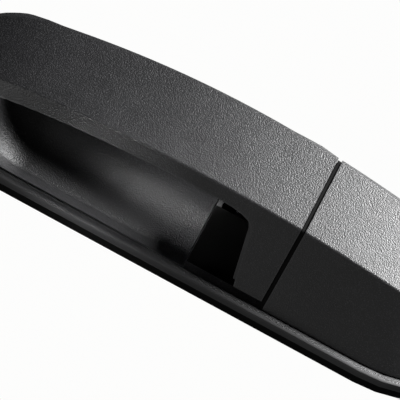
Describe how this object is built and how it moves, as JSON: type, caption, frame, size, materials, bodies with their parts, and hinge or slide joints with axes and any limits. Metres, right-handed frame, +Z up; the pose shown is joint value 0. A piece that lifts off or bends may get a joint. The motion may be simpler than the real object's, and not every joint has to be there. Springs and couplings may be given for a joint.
{
  "type": "car door handle",
  "caption": "Exterior pull handle for a car door: an arched grip hinged at one end, a fixed end cap, a flanged base with a finger trough, and a sprung bellcrank behind.",
  "frame": {"origin": "centre of the flange, on the door skin's outer face (the gasket's back face)", "axes": "+X from the hinged end of the grip to the fixed end cap, +Z up on the car, -Y out of the door"},
  "size_m": [0.25, 0.0794, 0.065],
  "materials": {
    "grained_plastic": "moulded black polypropylene with a fine pebble grain",
    "satin_plastic": "smooth black glass-filled nylon",
    "carrier_plastic": "plain black glass-filled nylon",
    "black_rubber": "soft black rubber",
    "cast_zinc": "as-cast zinc alloy",
    "plated_steel": "zinc-plated steel",
    "spring_steel": "oiled spring steel",
    "natural_acetal": "natural white acetal"
  },
  "bodies": {
    "base": {"base_housing": "grained_plastic", "flange_gasket": "black_rubber", "end_cap": "grained_plastic", "mechanism_housing": "carrier_plastic", "pocket_shield": "black_rubber", "overslam_bumper": "black_rubber", "pivot_pin": "plated_steel", "pivot_clip": "spring_steel", "end_cap_screw_front": "plated_steel", "end_cap_screw_rear": "plated_steel", "housing_screw_upper": "plated_steel", "housing_screw_lower": "plated_steel", "housing_screw_front": "plated_steel", "stud_upper_front": "plated_steel", "stud_lower_front": "plated_steel", "stud_rear": "plated_steel", "nut_upper_front": "plated_steel", "nut_lower_front": "plated_steel", "nut_rear": "plated_steel", "bellcrank_shaft": "plated_steel", "shaft_clip": "spring_steel", "return_spring": "spring_steel"},
    "grip": {"strap_shell": "grained_plastic", "strap_liner": "satin_plastic", "hook_tongue": "plated_steel", "tongue_screw": "plated_steel", "strap_screw": "plated_steel", "pivot_bush_upper": "natural_acetal", "pivot_bush_lower": "natural_acetal"},
    "crank": {"bellcrank": "cast_zinc", "counterweight": "plated_steel"},
    "clip": {"rod_clip": "natural_acetal"}
  },
  "joints": [
    {"name": "handle_pull", "type": "hinge", "parent": "base", "child": "grip", "pos_m": [-0.111, 0.007, -0.0025], "axis": [0, 0, -1], "range_deg": [0, 8.6], "stiffness_Nm_per_rad": 11, "springref_deg": -5.73},
    {"name": "bellcrank_turn", "type": "hinge", "parent": "base", "child": "crank", "pos_m": [0.036, 0.009, -0.011], "axis": [1, 0, 0], "range_deg": [0, 50], "deforming": ["return_spring"]},
    {"name": "rod_clip_swivel", "type": "hinge", "parent": "crank", "child": "clip", "pos_m": [0.048, 0.02432, 0.00186], "axis": [1, 0, 0], "range_deg": [-35, 35]}
  ],
  "couplings": [
    {"joint": "bellcrank_turn", "follows": "handle_pull", "ratio": 5.71}
  ]
}
